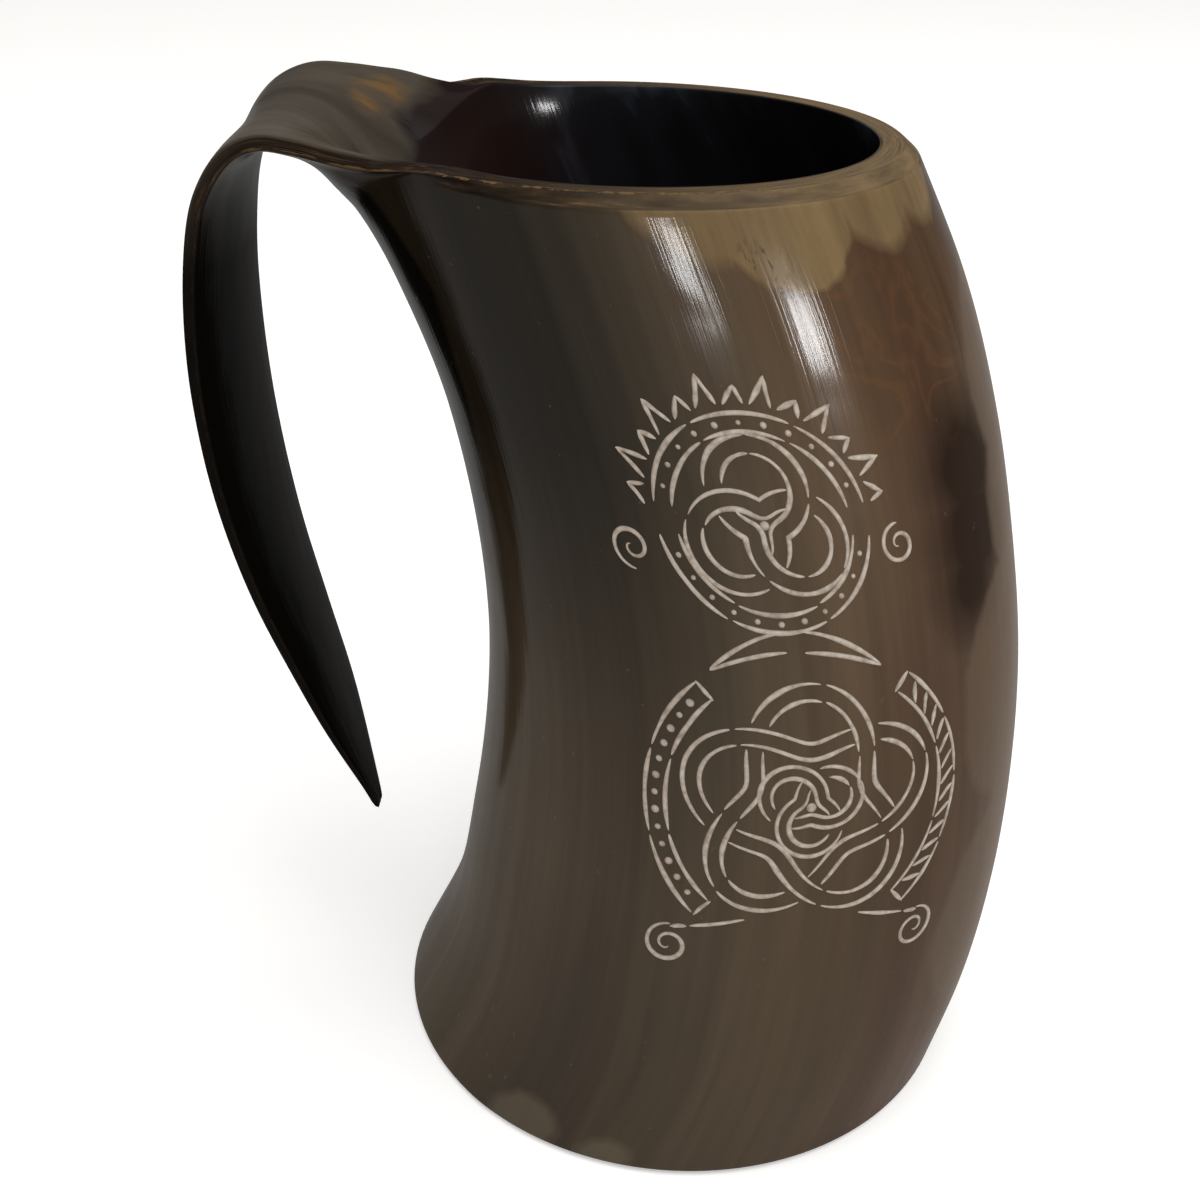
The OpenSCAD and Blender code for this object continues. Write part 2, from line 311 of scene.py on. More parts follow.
def horn():
    """The wall as closed rings up the outside and down the inside, and the handle as a tube from
    the place that the rings leave open. Beside the handle's far root the rim rises by a bell curve
    of the turn times smooth steps of the height. The inside flares by the square of the way up its
    last few millimetres, and by nothing at the handle."""
    k = 2 * corner_shares(across_steps, across_margin) - 1
    roots = len(k)
    rest = root_angle + (360 - 2 * root_angle) * corner_shares(round_steps, round_margin)[1:-1]
    v = np.concatenate([root_angle * k, np.where(rest > 180, rest - 360, rest)])
    columns = len(v)
    turn = np.radians(v)

    def level_ring(radius, z):
        """Circle round the foot's axis at one height."""
        return np.stack([-radius * np.cos(turn), radius * np.sin(turn), z + 0 * turn], -1)

    low, high = foot_chamfer / rim_height, 1 - rim_bevel_height / rim_height
    outer = blend(low, high, corner_shares(outer_steps, height_margin))
    inner = blend(1, plate_thickness / rim_height, corner_shares(inner_steps, height_margin))
    bevel_low = wall_point(high + 0 * v, v)
    rim, mouth = rim_point(v), inner_point(1 + 0 * v, v)
    flat_r = foot_r - foot_chamfer
    rings, along, inside = [], [], []

    # Shares through the wall at which its cut edge has points between the corners
    band = [0.09, 0.5, 0.91]

    def ring(points, length, share):
        """One more ring, with its length along the straight horn and its share through the wall."""
        rings.append(points)
        along.append(length + 0 * v)
        inside.append(share + 0 * v)

    # From the bore out under the foot, up the outside, over the rim and down the inside
    ring(level_ring(bore_r + bore_margin, 0), -8, 0)
    ring(level_ring(flat_r - foot_margin, 0), -4, 0)
    ring(level_ring(flat_r, 0), -1, 0)
    ring(blend(level_ring(flat_r, 0), wall_point(low + 0 * v, v), 0.5), 0, 0)
    for s in outer:
        ring(wall_point(s + 0 * v, v), rim_height * s, 0)
    for share in (0.25, 0.75):
        ring(blend(bevel_low, rim, share), rim_height - 1 + share, 0)
    rim_row = len(rings)
    ring(rim, rim_height, 0)
    for share in band:
        ring(blend(rim, mouth, share), rim_height, share)
    for s in inner:
        ring(inner_point(s + 0 * v, v), rim_height * s, 1)
    ring(level_ring(bore_r, plate_thickness), 4, 1)
    ring(level_ring(bore_r, bore_margin), 0, 1)
    rows = len(rings)
    edge = len(band)
    mouth_row = rim_row + edge + 1

    # Each ring is joined to the next, and the last to the first, except where the handle starts
    index = np.arange(rows * columns).reshape(rows, columns)
    here, there = index, np.roll(index, -1, axis=0)
    quads = np.stack([here, there, np.roll(there, -1, 1), np.roll(here, -1, 1)], -1)
    keep = np.ones((rows, columns), bool)
    keep[rim_row:mouth_row, :roots - 1] = False
    faces = [quads[keep]]

    # Handle: each row runs over the face, one edge, the back and the other edge
    u = np.arange(1, stations * per_station + 1)[:, None] / per_station
    face, back = strap_outer(u, k[None]), strap_inner(u, k[None])
    sides = np.array(band)[None, :, None]
    right = blend(face[:, -1:], back[:, -1:], sides)
    left = blend(face[:, :1], back[:, :1], sides)
    tube = np.concatenate([face, right, back[:, ::-1], left[:, ::-1]], 1)
    around = tube.shape[1]
    middles = strap_outer(u, 0 * u)[:, 0]
    steps = np.diff(np.vstack([lip_point, middles]), axis=0)
    length = rim_height + np.cumsum(np.linalg.norm(steps, axis=1))
    tube_k = np.concatenate([k, np.ones(edge), k[::-1], -np.ones(edge)])
    tube_inside = np.concatenate([0 * k, band, 1 + 0 * k, band[::-1]])

    start = rows * columns
    tube_index = start + np.arange(len(u) * around).reshape(len(u), around)
    band_rows = np.arange(rim_row + 1, mouth_row)
    root = np.concatenate([index[rim_row, :roots], index[band_rows, roots - 1],
                           index[mouth_row, :roots][::-1], index[band_rows[::-1], 0]])
    loops = np.vstack([root, tube_index])
    here, there = loops[:-1], loops[1:]
    faces.append(np.stack([here, there, np.roll(there, -1, 1), np.roll(here, -1, 1)],
                          -1).reshape(-1, 4))

    # The point is closed by a row of quads, and by one face with each edge's points
    tip = loops[-1]
    tip_face, tip_back = tip[:roots], tip[roots + edge:2 * roots + edge][::-1]
    faces.append(np.stack([tip_face[1:-2], tip_back[1:-2], tip_back[2:-1], tip_face[2:-1]], -1))
    faces.append([[tip[0], *tip[::-1][:edge], tip_back[0], tip_back[1], tip_face[1]]])
    faces.append([[tip_face[-2], tip_back[-2], tip_back[-1], *tip[roots:roots + edge][::-1],
                   tip_face[-1]]])

    points = np.concatenate([np.vstack(rings), tube.reshape(-1, 3)])
    all_inside = np.concatenate([np.concatenate(inside), np.tile(tube_inside, len(u))])
    all_v = np.concatenate([np.tile(v, rows), root_angle * np.tile(tube_k, len(u))])
    all_along = np.concatenate([np.concatenate(along), np.repeat(length, around)])

    # The rim rises beside the handle's far root, and the inside flares a little just below it
    far_root = np.exp(-((all_v - far_rise_turn) / far_rise_spread) ** 2)
    risen = smooth((all_along - far_rise_start) / far_rise_run)
    fallen = smooth((all_along - far_fall_start) / far_fall_run)
    points[:, 2] += far_rise * far_root * (risen * (1 - fallen))
    flare = np.clip(1 - (rim_height - all_along) / flare_depth, 0, 1) ** 2 * all_inside ** 4
    flare = inner_flare * flare * smooth((np.abs(all_v) - root_angle) / flare_fade)
    points += level_normal(1 + 0 * all_v, all_v) * flare[:, None]
    grain = grain_place(blend(mouth_a, mouth_a - wall, all_inside), all_v, all_along)
    return make_mesh("polished_horn", points, faces, {"grain": grain, "inside": all_inside})


# Engraving: a design of interlaced rings, laid out in millimetres on the front of the horn
panel_turn = -98
panel_height = 88
panel_radius = 44
band_width = 2.5
small_band_width = 1.7
stroke_width = 0.8
stroke_lengths = (11, 17)
line_step = 0.35
stroke_step = 0.4
draw = np.random.default_rng(7)


def on_wall(x, y, lift):
    """Points x to the right and y up on the panel, lifted off the wall by so much."""
    s = (panel_height + y) / rim_height
    v = panel_turn - np.degrees(x / panel_radius)
    return wall_point(s, v) + true_normal(s, v) * lift[..., None]


def even_steps(points, step):
    """The same line with its points an even step apart."""
    run = np.concatenate([[0], np.cumsum(np.linalg.norm(np.diff(points, axis=0), axis=1))])
    marks = np.linspace(0, run[-1], max(4, int(run[-1] / step)))
    return np.stack([np.interp(marks, run, points[:, 0]), np.interp(marks, run, points[:, 1])], 1)


def side_steps(points):
    """Unit normals of a line, to its left."""
    t = np.gradient(points, axis=0)
    return unit(np.stack([-t[:, 1], t[:, 0]], 1))


def interlace(points, width, gap=0.45):
    """Both outlines of a band along a closed line, broken where the band passes under itself."""
    points = even_steps(points, line_step)
    step = np.diff(points, axis=0)
    start = points[:-1]

    # Every place where two steps that aren't neighbours cross, at shares t and w of the two
    between = start[None] - start[:, None]
    turn = step[:, None, 0] * step[None, :, 1] - step[:, None, 1] * step[None, :, 0]
    turn = np.where(np.abs(turn) < 1e-9, 1e-9, turn)
    t = (between[..., 0] * step[None, :, 1] - between[..., 1] * step[None, :, 0]) / turn
    w = (between[..., 0] * step[:, None, 1] - between[..., 1] * step[:, None, 0]) / turn
    n = len(start)
    apart = np.abs(np.arange(n)[:, None] - np.arange(n)[None])
    apart = np.minimum(apart, n - apart) > 6
    one, other = np.nonzero((t >= 0) & (t < 1) & (w >= 0) & (w < 1) & apart)
    order = np.argsort(one + t[one, other])

    # At every second crossing along the line the band passes under, and its outlines are cut
    normal = side_steps(points)
    shown = {-1: np.ones(len(points), bool), 1: np.ones(len(points), bool)}
    for rank, event in enumerate(order):
        if rank % 2:
            continue
        i, j = one[event], other[event]
        line = unit(step[j])
        near = np.abs(np.arange(len(points)) - i)
        near = np.minimum(near, n - near) * line_step < 3 * width
        for side in shown:
            away = points + normal * side * width / 2 - start[j]
            off = np.abs(away[:, 0] * line[1] - away[:, 1] * line[0])
            shown[side] &= ~(near & (off < width / 2 + gap))
    strokes = []
    for side, mask in shown.items():
        line = points + normal * side * width / 2
        cuts = np.flatnonzero(np.diff(mask.astype(int))) + 1
        for part in np.split(np.arange(len(points)), cuts):
            if mask[part[0]] and len(part) > 4:
                strokes += broken(line[part])
    return strokes


def broken(line):
    """A long line cut as a carver does, in strokes with small rests between them."""
    pieces = max(1, round(len(line) * line_step / draw.uniform(*stroke_lengths)))
    return [part[:-1] if len(part) > 8 else part for part in np.array_split(line, pieces)]


def rosette(loops, middle, radius, depth, turn):
    """Closed line that winds twice round a circle, swinging in and out once for each loop."""
    t = np.linspace(0, 4 * np.pi, 900)
    r = radius + depth * np.cos(loops * t / 2)
    return np.stack([middle[0] + r * np.cos(t + turn), middle[1] + r * np.sin(t + turn)], 1)


def ring_line(middle, radius, start, end):
    """Part of a circle, from one angle to another in degrees."""
    t = np.radians(np.linspace(start, end, 120))
    return np.stack([middle[0] + radius * np.cos(t), middle[1] + radius * np.sin(t)], 1)


def spiral(middle, radius, turns, start, hand, eye=0.35):
    """A curl that winds in to a small open eye at its middle."""
    t = np.linspace(0, 1, 90)
    turn = math.radians(start) + hand * 2 * np.pi * turns * t
    r = radius * (1 - t) ** 0.8 + eye
    return np.stack([middle[0] + r * np.cos(turn), middle[1] + r * np.sin(turn)], 1)


def design():
    """All strokes of the engraving, and its dots, on the panel: two rosettes one in the other
    below, and above them one in a ring of dots under a half ring of rays."""
    strokes = []
    low, high = (1.0, -17.0), (-1.5, 25.0)
    strokes += interlace(rosette(5, low, 13.5, 4.6, 0.3), band_width)
    strokes += interlace(rosette(3, low, 4.6, 2.6, 0.5), small_band_width)
    strokes += interlace(rosette(3, high, 6.6, 4.4, math.pi / 2), band_width)
    for radius in (12.6, 15.2):
        strokes += broken(ring_line(high, radius, 8, 172))
        strokes += broken(ring_line(high, radius, 188, 352))

    # Rays over the upper ring, every other one longer
    for turn in range(12, 169, 13):
        a = math.radians(turn)
        way = np.array([math.cos(a), math.sin(a)])
        side = np.array([-way[1], way[0]])
        top = np.array(high) + way * (20.6 if turn % 2 else 18.8) - side * 0.8
        foot = np.array(high) + way * 16.4
        strokes.append(np.linspace(foot + side * 1.5, top, 12))
        strokes.append(np.linspace(top + side * 0.1, foot - side * 1.4, 12))

    # On each side a curl on a stem, a smaller curl, a border of two arcs, and arcs in the middle
    for hand, middle in ((-1, 180), (1, 0)):
        strokes.append(spiral((low[0] + hand * 19, -42), 3.3, 1.6, 90, -hand))
        stem = np.linspace(0, 1, 50)
        strokes += broken(np.stack([low[0] + hand * (19 - 11 * stem ** 2), -38.7 + 3.0 * stem
                                    - 3.5 * stem * (1 - stem)], 1))
        strokes.append(spiral((high[0] + hand * 19.8, 20.5), 2.8, 1.4, 90 * hand, hand))
        for radius in (21.4, 24.6):
            strokes += broken(ring_line(low, radius, middle - 50, middle + 50))
        for end in (-50, 50):
            a = math.radians(middle + end)
            way = np.array([math.cos(a), math.sin(a)])
            strokes.append(np.linspace(low + way * 21.2, low + way * 24.8, 10))
        if hand > 0:
            for offset in range(-42, 43, 7):
                a = math.radians(middle + offset)
                near = low + 21.8 * np.array([math.cos(a - 0.05), math.sin(a - 0.05)])
                far = low + 24.2 * np.array([math.cos(a + 0.05), math.sin(a + 0.05)])
                strokes.append(np.linspace(near, far, 8))
        for rise in (6.4, 3.4):
            t = np.linspace(0.1, 1, 30)
            strokes += broken(np.stack([hand * 13 * t, 3.6 + rise * (1 - t ** 2)], 1))

    # Dots round the upper ring, down the left border and in both middles
    dots = []
    for turn in list(range(20, 161, 14)) + list(range(200, 341, 14)):
        a = math.radians(turn)
        dots.append((high[0] + 13.9 * math.cos(a), high[1] + 13.9 * math.sin(a), 0.45))
    for turn in range(138, 223, 7):
        a = math.radians(turn)
        dots.append((low[0] + 23 * math.cos(a), low[1] + 23 * math.sin(a), 0.6))
    dots += [(low[0], low[1], 0.8), (high[0], high[1], 0.8)]
    return strokes, dots


def engraving():
    """Each stroke as a low rounded ribbon that narrows to its ends, and each dot as a low dome."""
    across = np.array([-1, -0.6, 0, 0.6, 1])
    crown = np.array([-0.06, 0.05, 0.08, 0.05, -0.06])
    lanes = len(across)
    points, faces, edges, count = [], [], [], 0
    strokes, dots = design()
    for line in strokes:
        line = even_steps(line, stroke_step)
        t = np.linspace(0, 1, len(line))
        wobble = np.interp(t, np.linspace(0, 1, 5), draw.uniform(0.75, 1.2, 5))
        width = stroke_width * wobble * (0.22 + 0.78 * np.sin(np.pi * t) ** 0.45)
        sway = np.interp(t, [0, 0.5, 1], draw.normal(0, 0.06, 3))
        line = line + side_steps(line) * sway[:, None]
        flat = line[:, None] + side_steps(line)[:, None] * (across * width[:, None] / 2)[..., None]
        points.append(on_wall(flat[..., 0], flat[..., 1], crown + 0 * width[:, None]).reshape(-1, 3))
        grid = count + np.arange(len(line) * lanes).reshape(-1, lanes)
        faces.append(np.stack([grid[:-1, :-1], grid[1:, :-1], grid[1:, 1:], grid[:-1, 1:]],
                              -1).reshape(-1, 4))
        edges.append(np.tile(np.abs(across), len(line)))
        count += grid.size

    reach = np.array([1, 0.6, 0.01])[:, None]
    dome = np.array([-0.06, 0.06, 0.09])[:, None]
    sides = 12
    turn = np.linspace(0, 2 * np.pi, sides, endpoint=False)
    for x, y, radius in dots:
        size = radius * draw.uniform(0.8, 1.15)
        flat_x, flat_y = x + reach * size * np.cos(turn), y + reach * size * np.sin(turn)
        points.append(on_wall(flat_x, flat_y, dome + 0 * flat_x).reshape(-1, 3))
        grid = count + np.arange(len(dome) * sides).reshape(-1, sides)
        here, there = grid[:-1], grid[1:]
        faces.append(np.stack([here, np.roll(here, -1, 1), np.roll(there, -1, 1), there],
                              -1).reshape(-1, 4))
        faces.append([grid[-1].tolist()])
        edges.append(np.repeat([1, 0.6, 0], sides))
        count += grid.size
    return make_mesh("engraving_fill", np.vstack(points), faces,
                     {"edge": np.concatenate(edges)})


def colour(code):
    """sRGB hex to linear red, green and blue."""
    parts = [int(code[i:i + 2], 16) / 255 for i in (1, 3, 5)]
    return [*(c / 12.92 if c <= 0.04045 else ((c + 0.055) / 1.055) ** 2.4 for c in parts), 1]


def add(tree, kind, inputs=(), stops=(), give=0, **settings):
    """Adds a shader node with its settings, its links or values and its ramp's stops, and gives
    back one of its outputs. A hex colour is turned to linear on the way. A mix of colours takes
    its share at input 0 and the colours at 6 and 7, and gives the mix at output 2."""
    node = tree.nodes.new("ShaderNode" + kind)
    for key, value in settings.items():
        setattr(node, key, value)
    for key, value in inputs.items() if isinstance(inputs, dict) else enumerate(inputs):
        if isinstance(value, bpy.types.NodeSocket):
            tree.links.new(value, node.inputs[key])
        else:
            node.inputs[key].default_value = colour(value) if isinstance(value, str) else value
    if stops:
        ramp = node.color_ramp.elements
        while len(ramp) < len(stops):
            ramp.new(0.5)
        for element, (place, shade) in zip(ramp, stops):
            element.position = place
            element.color = colour(shade) if isinstance(shade, str) else [shade] * 3 + [1]
    return node.outputs[give] if len(node.outputs) else None


def new_material(name):
    """Empty node material, and the call that adds a node to it."""
    material = bpy.data.materials.new(name)
    material.use_nodes = True
    material.node_tree.nodes.clear()
    return material, partial(add, material.node_tree)


def horn_material():
    """Polished cattle horn: keratin laid down in long fibres, dark, with clouds of tan, under a
    thin rubbed coat of wax that gives all of its gloss. The streaks follow the grain that the
    horn had before it was bent."""
    material, node = new_material("polished_cattle_horn")
    grain = node("Attribute", give="Vector", attribute_name="grain")
    inside = node("Attribute", give="Fac", attribute_name="inside")
    x, y, along = (node("SeparateXYZ", (grain,), give=axis) for axis in range(3))
    outside = node("Math", (1.0, inside), operation="SUBTRACT")

    def streaks(across, length, detail, warp=0.0):
        """Noise drawn out along the grain, with so many streaks to the metre each way."""
        place = node("Mapping", {0: grain, "Scale": (across, across, length)})
        return node("TexNoise", {0: place, "Scale": 1.0, "Detail": detail, "Roughness": 0.6,
                                 "Distortion": warp})

    def marks(places, soft, shift, level=0.0, fade="LINEAR"):
        """1 inside any round mark (turn, height, radius in millimetres), fading over its edge by
        so much. The shift frays the edge, and the level is the share through the wall."""
        found = 0.0
        for v, height, reach in places:
            centre = grain_place(blend(mouth_a, mouth_a - wall, level), v, height)
            off = node("VectorMath", (grain, list(centre)), give="Value", operation="DISTANCE")
            off = node("Math", (off, shift), operation="ADD")
            mark = node("MapRange", (off, reach * MM, (reach - soft) * MM),
                        interpolation_type=fade)
            found = node("Math", (found, mark), operation="MAXIMUM")
        return found

    # Turn round the horn: 0 at the handle, 1 at the back, the same both ways
    behind = node("Math", (x, -1.0), operation="MULTIPLY")
    turn = node("Math", (y, behind), operation="ARCTAN2")
    round_share = node("Math", (turn,), operation="ABSOLUTE")
    round_share = node("Math", (round_share, math.pi), operation="DIVIDE")
    height_share = node("Math", (along, rim_height * MM), operation="DIVIDE")
    frayed = node("Math", (streaks(120, 90, 3), 0.004, -0.002), operation="MULTIPLY_ADD")

    # Body: broad zones round the horn, paler and greyer near the foot
    zone = node("Math", (streaks(30, 6, 3), 0.12, -0.06), operation="MULTIPLY_ADD")
    zone = node("Math", (zone, round_share), operation="ADD")
    upper = node("ValToRGB", (zone,), (
        (0.0, "#1c1812"), (0.2, "#292118"), (0.3, "#1f1a13"), (0.37, "#29231a"), (0.45, "#42392c"),
        (0.55, "#524636"), (0.66, "#634d39"), (0.76, "#4b3627"), (0.85, "#523d2a"),
        (1.0, "#3f2f22")))
    # Painted light: the paler stop at 0.86 of the way round lifts the lower edge towards the back,
    # as if lit from the side
    lower = node("ValToRGB", (zone,), (
        (0.0, "#4f4435"), (0.18, "#524636"), (0.3, "#483d30"), (0.45, "#4c4032"), (0.6, "#564736"),
        (0.7, "#4e3b2b"), (0.78, "#533e2d"), (0.86, "#644e3a"), (1.0, "#4a392a")))
    high = node("MapRange", (height_share, 0.34, 0.78))
    base = node("Mix", {0: high, 6: lower, 7: upper}, give=2, data_type="RGBA")

    # Flank next to the handle: paler half way up, and darker at its foot and under the rim, which is
    # painted shade
    by_height = node("ValToRGB", (height_share,), (
        (0.0, 0.7), (0.2, 0.8), (0.5, 1.16), (0.85, 0.8)))
    flank = node("ValToRGB", (round_share,), ((0.12, 0.1), (0.24, 1.0), (0.32, 1.0), (0.5, 0.0)))
    base = node("Mix", {0: flank, 6: base, 7: by_height}, give=2, data_type="RGBA",
                blend_type="MULTIPLY")

    # Fibres, broad and fine, and a red cast in a few of them
    broad = node("ValToRGB", (streaks(90, 5, 4, 0.3),), ((0.36, 0.84), (0.66, 1.18)))
    fine = node("ValToRGB", (streaks(420, 9, 3),), ((0.3, 0.88), (0.7, 1.13)))
    for fibres in (broad, fine):
        base = node("Mix", {0: 1.0, 6: base, 7: fibres}, give=2, data_type="RGBA",
                    blend_type="MULTIPLY")
    red = node("ValToRGB", (streaks(60, 3, 2),), ((0.56, 0.0), (0.7, 0.55)))
    base = node("Mix", {0: red, 6: base, 7: "#40291d"}, give=2, data_type="RGBA")

    # Painted shade and reflection of the dark handle: a near black band under it, with a crisp bent
    # edge that fades out down the body
    painted_handle_shade = node("ValToRGB", (height_share,), (
        (0.4, 0.0), (0.52, 0.05), (0.6, 0.115), (0.69, 0.167), (0.79, 0.2), (0.895, 0.222),
        (1.0, 0.165)))
    painted_handle_shade = node("Math", (painted_handle_shade, round_share), operation="SUBTRACT")
    painted_handle_shade = node("MapRange", (painted_handle_shade, 0.0, 0.014, 0.0, 0.93))
    base = node("Mix", {0: painted_handle_shade, 6: base, 7: "#090807"}, give=2, data_type="RGBA")

    # Tan scalloped clouds under the rim, with a few tiny cracks, and faint clouds at the foot
    cloud = marks(((-117, 152.5, 10.4), (118, 153, 9), (142, 151, 11)), 0.9, frayed)
    soft_cloud = marks(((-103, 157, 11.4), (-141, 154.5, 9.5), (-157, 154.5, 8.5), (100, 157, 8)),
                       2.2, frayed)
    soft_cloud = node("Math", (soft_cloud, 0.95), operation="MULTIPLY")
    cloud = node("Math", (cloud, soft_cloud), operation="MAXIMUM")
    cloud = node("Math", (cloud, 0.9), operation="MULTIPLY")
    tan = node("ValToRGB", (streaks(230, 30, 5),), (
        (0.3, "#6b573e"), (0.5, "#7d6849"), (0.72, "#8f7854")))
    cracks = node("ValToRGB", (streaks(1600, 500, 2),), ((0.36, 0.75), (0.42, 0.0)))
    cracks = node("Math", (cracks, marks(((-110, 145.5, 5), (130, 146, 6)), 3.0, frayed)),
                  operation="MULTIPLY")
    tan = node("Mix", {0: cracks, 6: tan, 7: "#2f2318"}, give=2, data_type="RGBA")
    base = node("Mix", {0: cloud, 6: base, 7: tan}, give=2, data_type="RGBA")
    foot = marks(((-58, 2.5, 6.5), (-76, 1.5, 4.5), (64, 3, 6)), 2.0, frayed)
    foot = node("Math", (foot, 0.5), operation="MULTIPLY")
    base = node("Mix", {0: foot, 6: base, 7: "#6f6352"}, give=2, data_type="RGBA")

    # Dark blotches towards the back, cut off by paler clouds, and a net of faint orange veins
    blotch = marks(((-144, 116, 13), (-143, 106, 13), (-140, 99, 11), (150, 60, 16)), 8.0, frayed)
    blotch = node("Math", (blotch, 0.85), operation="MULTIPLY")
    base = node("Mix", {0: blotch, 6: base, 7: "#22170e"}, give=2, data_type="RGBA")
    paler = marks(((-176, 124, 17.5), (-176, 106, 18.2), (-167, 78, 23.5), (-167, 40, 25.5),
                   (172, 70, 19)), 1.8, frayed)
    paler = node("Math", (paler, 0.62), operation="MULTIPLY")
    base = node("Mix", {0: paler, 6: base, 7: "#64523f"}, give=2, data_type="RGBA")
    clear = node("Math", (paler, -1.0, 1.0), operation="MULTIPLY_ADD")
    bare_blotch = node("Math", (blotch, clear), operation="MULTIPLY")
    vein = node("TexNoise", {0: grain, "Scale": 95.0, "Detail": 2.0, "Distortion": 1.0})
    vein = node("Math", (vein, 0.5), operation="SUBTRACT")
    vein = node("MapRange", (node("Math", (vein,), operation="ABSOLUTE"), 0.045, 0.0, 0.0, 0.14))
    vein = node("Math", (vein, marks(((-132, 133, 16), (140, 110, 14)), 7.0, frayed)),
                operation="MULTIPLY")
    base = node("Mix", {0: vein, 6: base, 7: "#8a5a32"}, give=2, data_type="RGBA")
    specks = node("TexNoise", {0: grain, "Scale": 700.0, "Detail": 1.0})
    specks = node("MapRange", (specks, 0.76, 0.8, 0.0, 0.3))
    base = node("Mix", {0: specks, 6: base, 7: "#6d5d4c"}, give=2, data_type="RGBA")

    # Inside: near black under its lacquer, with painted reflections, paling over the lip to the
    # handle's grey brown
    handle = node("ValToRGB", (streaks(60, 22, 4, 0.5),), (
        (0.3, "#38322b"), (0.5, "#4a433a"), (0.7, "#5d554a")))
    patch = marks(((36, 161.5, 4), (25, 162.5, 3.2)), 3.0,
                  node("Math", (frayed, 2.0), operation="MULTIPLY"), 1.0)
    mottle = node("ValToRGB", (streaks(420, 160, 4),), ((0.38, 0.1), (0.62, 0.7)))
    patch = node("Math", (patch, mottle), operation="MULTIPLY")
    handle = node("Mix", {0: patch, 6: handle, 7: "#7a5b35"}, give=2, data_type="RGBA")
    # Painted reflections in the lacquer: a blue-grey haze, and a warm red-brown patch beside the
    # handle
    painted_inner_reflection = node("ValToRGB", (streaks(45, 18, 4, 1.0),), (
        (0.42, "#171516"), (0.55, "#1c1d21"), (0.68, "#3a3e47")))
    warm_reflection = node("Math", (marks(((-25, 150, 26), (36, 146, 24)), 24.0, 0.0, 1.0), 0.9),
                operation="MULTIPLY")
    painted_inner_reflection = node("Mix", {0: warm_reflection, 6: painted_inner_reflection, 7: "#2a1a16"}, give=2, data_type="RGBA")
    edge_height = node("ValToRGB", (round_share,), (
        (0.05, 0.0), (0.12, 0.55), (0.15, 0.83), (0.3, 0.87)))
    edge_height = node("Math", (edge_height, 12 * MM, 148 * MM), operation="MULTIPLY_ADD")
    over_lip = node("Math", (along, frayed), operation="ADD")
    over_lip = node("Math", (over_lip, edge_height), operation="SUBTRACT")
    over_lip = node("MapRange", (over_lip, -0.8 * MM, 1.4 * MM))
    hidden = node("Mix", {0: over_lip, 6: painted_inner_reflection, 7: handle}, give=2, data_type="RGBA")
    base = node("Mix", {0: inside, 6: base, 7: hidden}, give=2, data_type="RGBA")

    # Handle: darker than the wall along its free length, and a little paler along its middle, which
    # is a painted sheen on its rounded face
    free = node("MapRange", (along, 168 * MM, 188 * MM))
    strap = node("Math", (streaks(80, 8, 3), 0.1, -0.05), operation="MULTIPLY_ADD")
    strap = node("Math", (strap, round_share), operation="ADD")
    strap = node("ValToRGB", (strap,), ((0.02, "#1d1915"), (0.13, "#0b0a09")))
    strap_share = node("Math", (free, 0.95), operation="MULTIPLY")
    base = node("Mix", {0: strap_share, 6: base, 7: strap}, give=2, data_type="RGBA")

    # Cut edge of the rim and the strap: the layers of the horn show as thin lines
    cut = node("Math", (inside, outside), operation="MULTIPLY")
    cut = node("Math", (cut, 6.0), operation="MULTIPLY", use_clamp=True)
    bevel = node("MapRange", (along, 153.35 * MM, 153.65 * MM))
    beside = node("MapRange", (round_share, 0.28, 0.305))
    bevel = node("Math", (bevel, beside), operation="MULTIPLY")
    bevel = node("Math", (bevel, outside), operation="MULTIPLY")
    cut = node("Math", (cut, bevel), operation="MAXIMUM")

    # The layers' noise: fine through the wall and up the bevel, and drawn out along the edge
    far_along = node("Math", (along, 157 * MM), operation="MINIMUM")
    far_along = node("Math", (far_along, 900.0), operation="MULTIPLY")
    far_along = node("Math", (along, 160.0, far_along), operation="MULTIPLY_ADD")
    layers = node("CombineXYZ", (node("Math", (inside, 17.0), operation="MULTIPLY"),
                                 node("Math", (turn, 4.0), operation="MULTIPLY"),
                                 far_along))
    layers = node("TexNoise", {0: layers, "Scale": 1.0, "Detail": 6.0, "Roughness": 0.62})
    dark_edge = node("ValToRGB", (layers,), (
        (0.35, "#14100d"), (0.5, "#241c16"), (0.6, "#3a2c20"), (0.68, "#674d2f")))
    pale_edge = node("ValToRGB", (layers,), ((0.35, "#5b4d3d"), (0.5, "#6e5d46"), (0.65, "#7e6a4e")))

    # Small pale chips near the cut's outer corner, and a cut that pales towards the back
    backward = node("ValToRGB", (round_share,), ((0.33, 0.0), (0.5, 0.3), (0.75, 1.0)))
    chips = node("ValToRGB", (streaks(700, 420, 4),), ((0.5, 0.0), (0.56, 0.85)))
    corner = node("ValToRGB", (inside,), ((0.0, 0.0), (0.04, 1.0), (0.16, 1.0), (0.26, 0.0)))
    chips = node("Math", (chips, corner), operation="MULTIPLY")
    dark_edge = node("Mix", {0: chips, 6: dark_edge, 7: "#7a5c3c"}, give=2, data_type="RGBA")
    edge = node("Mix", {0: backward, 6: dark_edge, 7: pale_edge}, give=2, data_type="RGBA")
    cut_share = node("Math", (free, -0.85, 0.95), operation="MULTIPLY_ADD")
    cut_share = node("Math", (cut_share, cut), operation="MULTIPLY")
    base = node("Mix", {0: cut_share, 6: base, 7: edge}, give=2, data_type="RGBA")

